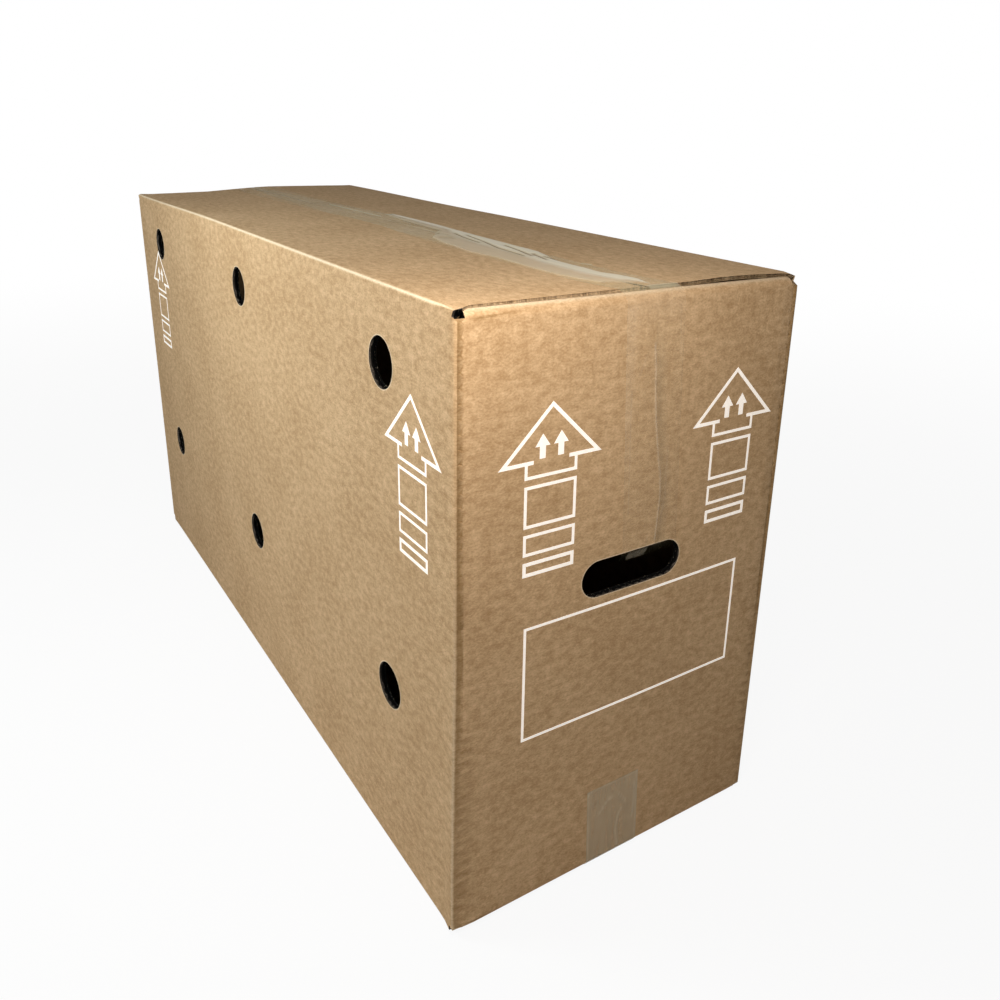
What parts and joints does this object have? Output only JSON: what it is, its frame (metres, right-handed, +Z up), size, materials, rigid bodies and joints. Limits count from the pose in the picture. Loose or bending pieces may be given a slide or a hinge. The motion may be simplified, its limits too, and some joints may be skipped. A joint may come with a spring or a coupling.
{
  "type": "ventilated cardboard box",
  "caption": "Long upright double-wall cardboard carton with folded flaps taped shut at top and bottom, hand holes in its end panels and round vents in its side panels.",
  "frame": {"origin": "on the ground, under the middle of the closed box", "axes": "+X to the right across the front end panel, +Y from the front end panel to the far one along the box's length, +Z up"},
  "size_m": [0.276, 0.7804, 0.4402],
  "materials": {
    "kraft_board": "matt brown kraft liner on double-wall corrugated board",
    "clear_tape": "glossy clear packing tape"
  },
  "bodies": {
    "root": {"carton": "kraft_board", "top_tape": "clear_tape", "bottom_tape": "clear_tape"}
  },
  "joints": []
}
